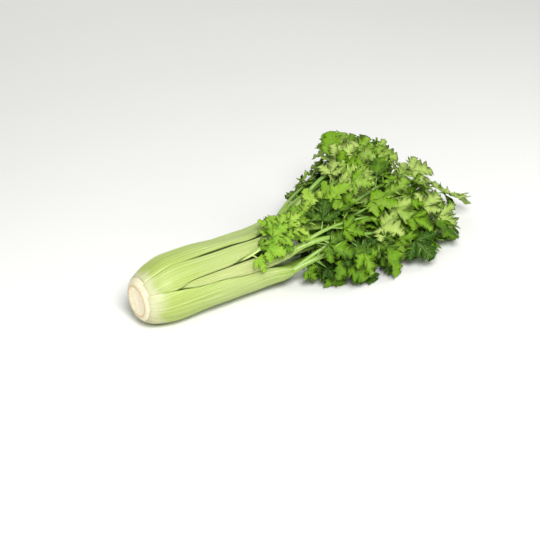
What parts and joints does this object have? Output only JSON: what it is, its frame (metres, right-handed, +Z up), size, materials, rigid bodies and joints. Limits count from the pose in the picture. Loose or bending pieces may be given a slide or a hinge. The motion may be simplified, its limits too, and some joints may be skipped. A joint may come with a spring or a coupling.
{
  "type": "head of celery",
  "caption": "Head of celery lying down: ribbed pale green stalks growing from a cut cream crown, with lobed and toothed leaves at the far end.",
  "frame": {"origin": "middle of the footprint, on the surface that the head lies on", "axes": "+X along the head from the cut crown to the leaf tips, +Z up"},
  "size_m": [0.4402, 0.2038, 0.1248],
  "materials": {
    "crown": "matte",
    "stalk": "satin",
    "heart_stalk": "satin",
    "leaf": "satin",
    "heart_leaf": "satin"
  },
  "bodies": {
    "root": {"crown": "crown", "stalk_a": "stalk", "stalk_b": "stalk", "stalk_d": "stalk", "stalk_e": "stalk", "stalk_f": "stalk", "stalk_g": "stalk", "stalk_c": "stalk", "stalk_i": "stalk", "stalk_j": "stalk", "stalk_k": "stalk", "stalk_l": "stalk", "stalk_m": "heart_stalk", "stalk_n": "heart_stalk", "stalk_o": "heart_stalk", "leaf_a": "leaf", "leaf_b": "leaf", "leaf_c": "leaf", "leaf_d": "leaf", "leaf_i": "leaf", "leaf_j": "leaf", "leaf_n": "leaf", "leaf_l": "leaf", "leaf_e": "leaf", "leaf_g": "leaf", "leaf_k": "leaf", "leaf_f": "leaf", "leaf_m": "heart_leaf", "leaf_o": "heart_leaf"}
  },
  "joints": []
}
